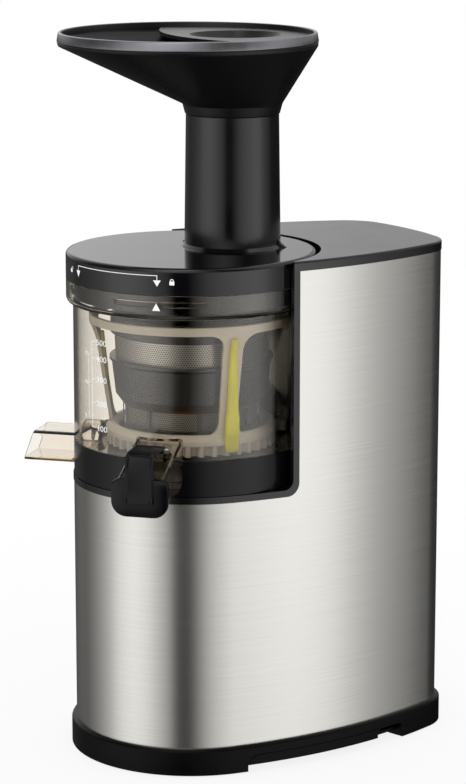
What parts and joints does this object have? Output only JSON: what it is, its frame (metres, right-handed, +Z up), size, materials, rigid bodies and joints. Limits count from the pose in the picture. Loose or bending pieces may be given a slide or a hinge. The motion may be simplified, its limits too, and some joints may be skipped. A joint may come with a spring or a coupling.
{
  "type": "cold press juicer",
  "caption": "Upright slow juicer: oval steel motor body, smoky bowl with juice and pulp spouts around a screw, strainer and wiper, twist-lock lid with a tall chute, and a tilted feed hopper.",
  "frame": {"origin": "on the drive axis of the screw and bowl, on the table that the feet stand on", "axes": "+Z up, +X from the bowl towards the motor tower, -Y the side that faces the viewer"},
  "size_m": [0.2492, 0.1713, 0.4356],
  "materials": {
    "amber": "clear, tinted brown",
    "base": "satin",
    "beige": "satin",
    "black": "gloss",
    "board": "circuit board",
    "bracket": "plated sheet",
    "capacitor": "smooth",
    "casting": "as cast",
    "chute": "satin gloss",
    "copper": "lacquered wire",
    "feet": "matt",
    "gear": "moulded",
    "laminations": "stacked sheet",
    "mesh": "perforated sheet",
    "screw": "satin",
    "seal": "soft",
    "shell": "brushed along the height",
    "silicone": "soft",
    "smoke": "clear, tinted",
    "steel": "machined",
    "strainer": "satin",
    "switch": "gloss",
    "print": "printed marks"
  },
  "bodies": {
    "body": {"rubber_feet": "feet", "base_skirt": "base", "bottom_plate": "base", "base_screws": "steel", "body_shell": "shell", "bowl_bay": "black", "tower_cover": "black", "motor_stator": "laminations", "motor_windings": "copper", "motor_shields": "casting", "motor_bearings": "steel", "gearbox_case": "casting", "gearbox_lid": "casting", "gearbox_screws": "steel", "output_bearings": "steel", "intermediate_axle": "steel", "shaft_seal": "seal", "switch_bezel": "switch", "cord_gland": "base", "board_bracket": "bracket", "control_board": "board", "run_capacitor": "capacitor"},
    "rotor": {"motor_rotor": "laminations", "motor_pinion": "steel"},
    "intermediate": {"intermediate_gear": "gear"},
    "drive": {"drive_shaft": "steel", "output_gear": "gear"},
    "bowl_unit": {"bowl": "smoke", "juice_spout": "amber", "pulp_spout": "amber", "bowl_base_ring": "black", "bowl_seal": "seal", "strainer_mesh": "mesh", "strainer_band": "strainer", "strainer_rim": "strainer", "cap_hinge_pin": "steel"},
    "bowl_gear": {"bowl_drive_gear": "gear"},
    "pinion": {"wiper_drive_gear": "gear", "wiper_pinion": "gear"},
    "wiper": {"wiper_frame": "beige", "wiper_blades": "silicone"},
    "screw": {"auger": "screw", "auger_insert": "steel"},
    "lid_unit": {"lid": "black", "feed_chute": "chute", "lid_seal": "seal", "lid_bush": "gear"},
    "hopper": {"hopper_tray": "black", "hopper_guard": "black"},
    "cap": {"juice_cap": "black", "cap_seal": "silicone"},
    "switch": {"rocker_switch": "switch"}
  },
  "joints": [
    {"name": "motor_spin", "type": "hinge", "parent": "body", "child": "rotor", "pos_m": [0, 0, 0.07], "axis": [0, 0, 1], "continuous": true},
    {"name": "intermediate_spin", "type": "hinge", "parent": "body", "child": "intermediate", "pos_m": [0.042, 0, 0.12], "axis": [0, 0, 1], "continuous": true},
    {"name": "drive_spin", "type": "hinge", "parent": "body", "child": "drive", "pos_m": [0, 0, 0.15], "axis": [0, 0, 1], "continuous": true},
    {"name": "bowl_lift", "type": "slide", "parent": "body", "child": "bowl_unit", "axis": [0, 0, 1], "range_m": [0, 0.045]},
    {"name": "bowl_gear_spin", "type": "hinge", "parent": "bowl_unit", "child": "bowl_gear", "pos_m": [0, 0, 0.174], "axis": [0, 0, 1], "continuous": true},
    {"name": "pinion_spin", "type": "hinge", "parent": "bowl_unit", "child": "pinion", "pos_m": [0.05635, 0, 0.18], "axis": [0, 0, 1], "continuous": true},
    {"name": "wiper_spin", "type": "hinge", "parent": "bowl_unit", "child": "wiper", "pos_m": [0, 0, 0.2], "axis": [0, 0, 1], "continuous": true},
    {"name": "auger_spin", "type": "hinge", "parent": "bowl_unit", "child": "screw", "pos_m": [0, 0, 0.23], "axis": [0, 0, 1], "continuous": true},
    {"name": "lid_twist", "type": "hinge", "parent": "bowl_unit", "child": "lid_unit", "pos_m": [0, 0, 0.295], "axis": [0, 0, 1], "range_deg": [0, 45]},
    {"name": "hopper_lift", "type": "slide", "parent": "lid_unit", "child": "hopper", "axis": [0, 0, 1], "range_m": [0, 0.06]},
    {"name": "juice_cap_hinge", "type": "hinge", "parent": "bowl_unit", "child": "cap", "pos_m": [-0.06081, -0.06081, 0.2022], "axis": [-0.7071, 0.7071, 0], "range_deg": [0, 100]},
    {"name": "switch_rock", "type": "hinge", "parent": "body", "child": "switch", "pos_m": [0.09666, 0.06377, 0.104], "axis": [0.9744, -0.225, 0], "range_deg": [-12, 12]}
  ],
  "couplings": [
    {"joint": "intermediate_spin", "follows": "motor_spin", "ratio": -0.22222},
    {"joint": "drive_spin", "follows": "motor_spin", "ratio": 0.055556},
    {"joint": "bowl_gear_spin", "follows": "motor_spin", "ratio": 0.055556},
    {"joint": "auger_spin", "follows": "motor_spin", "ratio": 0.055556},
    {"joint": "pinion_spin", "follows": "motor_spin", "ratio": -0.25},
    {"joint": "wiper_spin", "follows": "motor_spin", "ratio": 0.0375}
  ]
}
